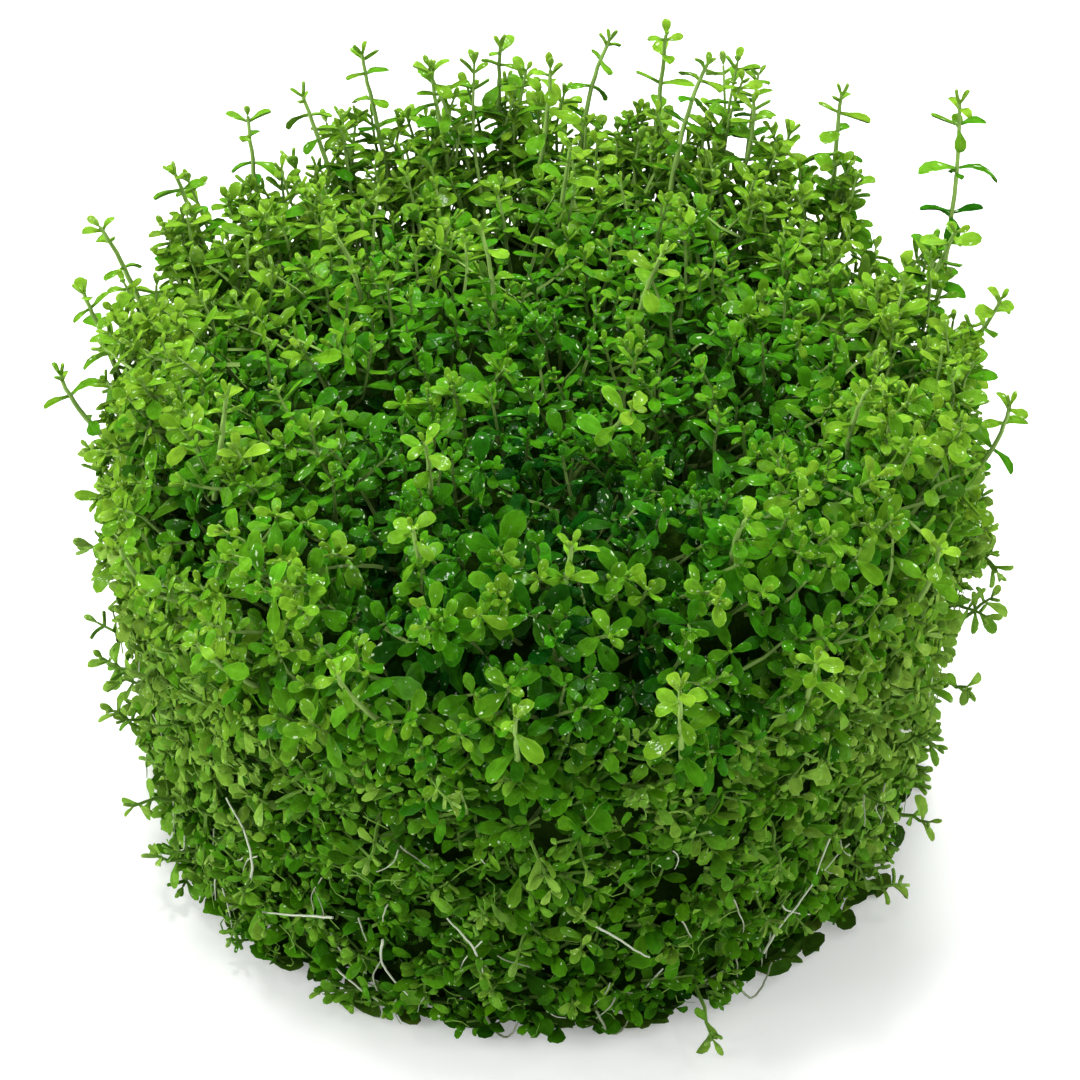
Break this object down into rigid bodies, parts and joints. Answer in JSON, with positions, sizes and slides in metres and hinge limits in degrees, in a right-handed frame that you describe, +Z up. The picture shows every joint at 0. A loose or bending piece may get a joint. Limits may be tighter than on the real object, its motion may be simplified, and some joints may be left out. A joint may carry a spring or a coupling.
{
  "type": "dwarf baby tears clump",
  "caption": "Round clump of a tiny-leaved carpet plant for aquariums, moulded to a tapered drum by its cup, with a lumpy leafy canopy and fine white roots.",
  "frame": {"origin": "centre of the clump's flat underside", "axes": "+Z up through the canopy, -Y to the clump's front, where most of the white roots show"},
  "size_m": [0.0878, 0.0855, 0.0593],
  "materials": {
    "leaf_green": "wet, slightly glossy leaf, bright yellow-green on top and dull grey-green on the pressed wall",
    "shoot_green": "fresh glossy leaf and pale green stem",
    "sprig_green": "young glossy leaf and pale green stem",
    "root_white": "moist off-white root"
  },
  "bodies": {
    "root": {"clump": "leaf_green", "shoot_01": "shoot_green", "shoot_02": "shoot_green", "shoot_03": "shoot_green", "shoot_04": "shoot_green", "shoot_05": "shoot_green", "shoot_06": "shoot_green", "shoot_07": "shoot_green", "shoot_08": "shoot_green", "shoot_09": "shoot_green", "shoot_10": "shoot_green", "shoot_11": "shoot_green", "shoot_12": "shoot_green", "shoot_13": "shoot_green", "shoot_14": "shoot_green", "shoot_15": "shoot_green", "shoot_16": "shoot_green", "shoot_17": "shoot_green", "shoot_18": "shoot_green", "shoot_19": "shoot_green", "shoot_20": "shoot_green", "shoot_21": "shoot_green", "shoot_22": "shoot_green", "shoot_23": "shoot_green", "shoot_24": "shoot_green", "shoot_25": "shoot_green", "shoot_26": "shoot_green", "shoot_27": "shoot_green", "shoot_28": "shoot_green", "shoot_29": "shoot_green", "shoot_30": "shoot_green", "shoot_31": "shoot_green", "shoot_32": "shoot_green", "shoot_33": "shoot_green", "shoot_34": "shoot_green", "shoot_35": "shoot_green", "shoot_36": "shoot_green", "shoot_37": "shoot_green", "sprig_01": "sprig_green", "sprig_02": "sprig_green", "sprig_03": "sprig_green", "sprig_04": "sprig_green", "sprig_05": "sprig_green", "sprig_06": "sprig_green", "sprig_07": "sprig_green", "sprig_08": "sprig_green", "sprig_09": "sprig_green", "sprig_10": "sprig_green", "sprig_11": "sprig_green", "root_01": "root_white", "root_02": "root_white", "root_03": "root_white", "root_04": "root_white", "root_05": "root_white", "root_06": "root_white", "root_07": "root_white", "root_08": "root_white", "root_loop_1": "root_white", "root_loop_2": "root_white", "root_loop_3": "root_white"}
  },
  "joints": []
}
